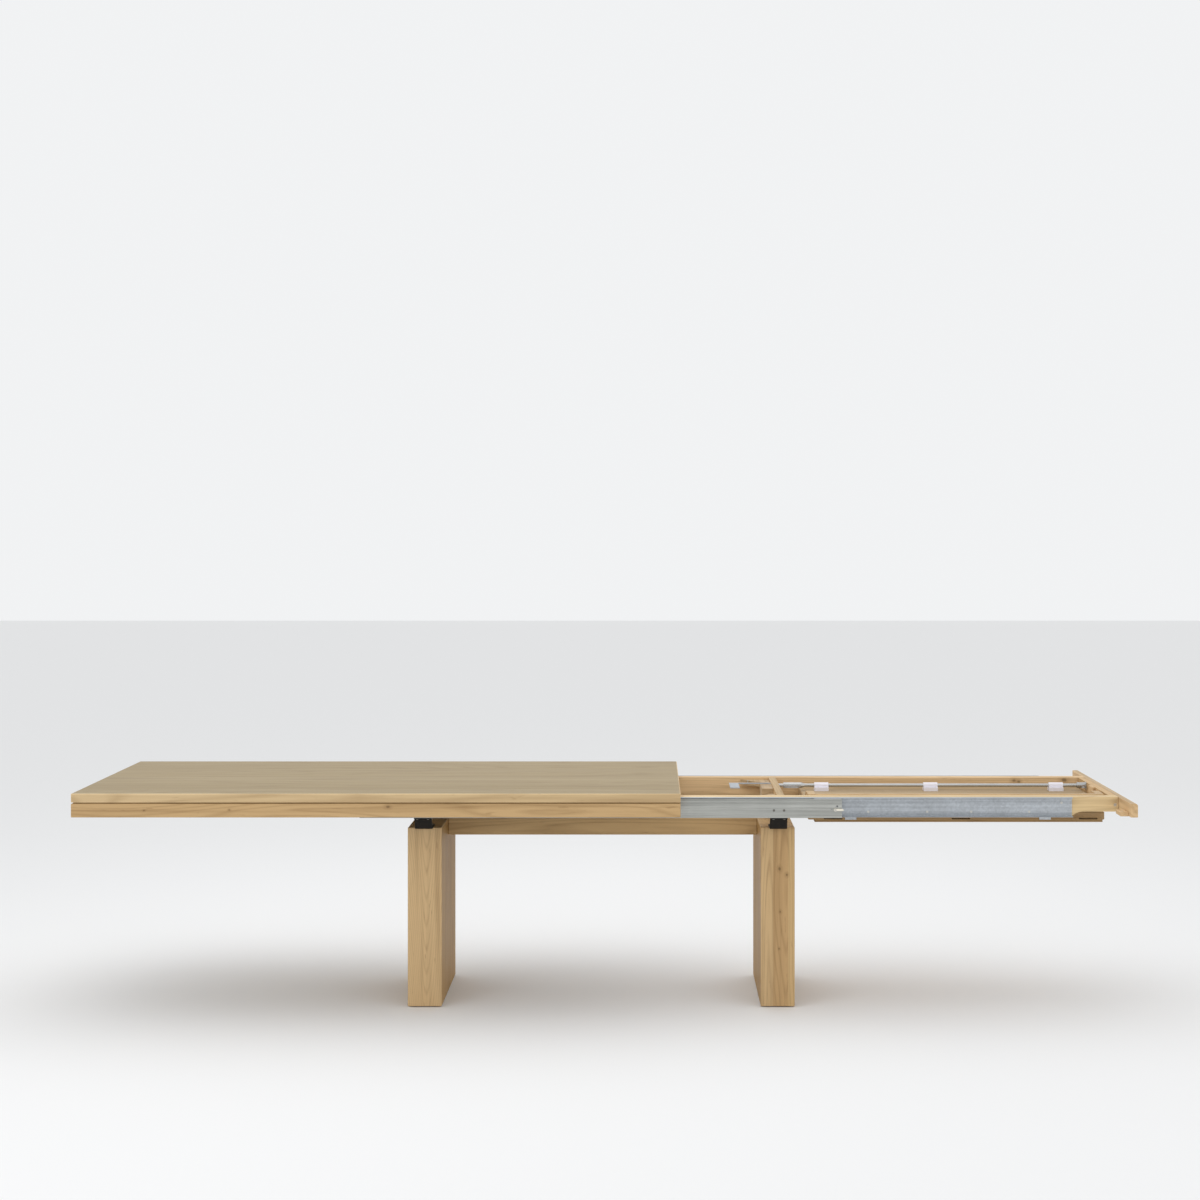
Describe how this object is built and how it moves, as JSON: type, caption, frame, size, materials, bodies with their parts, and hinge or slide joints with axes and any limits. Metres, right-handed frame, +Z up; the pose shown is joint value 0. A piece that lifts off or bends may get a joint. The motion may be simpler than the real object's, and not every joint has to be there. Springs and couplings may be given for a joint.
{
  "type": "extending dining table",
  "caption": "Rectangular oak dining table on slab legs and a stretcher, opened: sliding top, drawn-out leaf frame on metal slides, and a folded leaf on a rod.",
  "frame": {"origin": "on the floor, at the middle of the open table's length and width", "axes": "+X along the table towards the drawn-out leaf frame, +Y from front to rear, +Z up"},
  "size_m": [3.5, 1, 0.75],
  "materials": {
    "oak": "oiled, open grain",
    "dark_oak": "oiled, in shade",
    "alloy": "extruded, satin",
    "galvanised_steel": "zinc coated",
    "plated_steel": "zinc plated",
    "bright_rod": "ground and bright",
    "black_steel": "black powder coat",
    "white_nylon": "moulded, satin",
    "cream_plastic": "moulded, satin",
    "felt": "pressed felt"
  },
  "bodies": {
    "base": {"left_leg_front": "oak", "left_leg_rear": "oak", "right_leg_front": "oak", "right_leg_rear": "oak", "leg_splines": "dark_oak", "stretcher": "oak", "stretcher_dowels": "dark_oak", "floor_pads": "felt", "front_left_bracket": "black_steel", "front_right_bracket": "black_steel", "rear_left_bracket": "black_steel", "rear_right_bracket": "black_steel", "base_screws": "plated_steel", "front_fixed_rail": "alloy", "rear_fixed_rail": "alloy", "rail_guides": "white_nylon", "rail_glides": "white_nylon", "latch_pivots": "plated_steel"},
    "main_top": {"table_top": "oak", "front_apron": "oak", "rear_apron": "oak", "left_apron": "oak", "apron_spacers": "dark_oak", "front_top_batten": "oak", "rear_top_batten": "oak", "front_runner": "galvanised_steel", "rear_runner": "galvanised_steel", "runner_glides": "white_nylon", "top_screws": "plated_steel"},
    "leaf_frame": {"front_beam": "oak", "rear_beam": "oak", "front_channel": "galvanised_steel", "rear_channel": "galvanised_steel", "channel_screws": "plated_steel", "crossbar": "oak", "corner_gussets": "oak", "catch_block": "oak", "catch_plate": "galvanised_steel", "frame_screws": "plated_steel", "end_apron": "oak", "end_rail": "oak", "end_ledges": "oak", "end_rail_block": "oak", "beam_bolts": "plated_steel", "barrel_nuts": "plated_steel", "hinge_rod": "bright_rod", "rod_collars": "bright_rod"},
    "leaf": {"rod_bearings": "white_nylon", "upper_leaf_half": "oak", "lower_leaf_half": "oak", "leaf_top_battens": "oak", "leaf_under_battens": "dark_oak", "leaf_hinges": "plated_steel", "leaf_catch_plates": "galvanised_steel", "bearing_screws": "plated_steel"},
    "front_latch": {"front_latch": "cream_plastic"},
    "rear_latch": {"rear_latch": "cream_plastic"}
  },
  "joints": [
    {"name": "top_slide", "type": "slide", "parent": "base", "child": "main_top", "axis": [1, 0, 0], "range_m": [0, 0.735]},
    {"name": "frame_slide", "type": "slide", "parent": "base", "child": "leaf_frame", "axis": [-1, 0, 0], "range_m": [0, 0.74]},
    {"name": "leaf_swing", "type": "hinge", "parent": "leaf_frame", "child": "leaf", "pos_m": [1.186, 0.125, 0.705], "axis": [1, 0, 0], "range_deg": [-180, 0]},
    {"name": "front_latch_turn", "type": "hinge", "parent": "base", "child": "front_latch", "pos_m": [0.771, -0.3443, 0.677], "axis": [0, -1, 0], "range_deg": [0, 30]},
    {"name": "rear_latch_turn", "type": "hinge", "parent": "base", "child": "rear_latch", "pos_m": [0.771, 0.3443, 0.677], "axis": [0, -1, 0], "range_deg": [0, 30]}
  ]
}
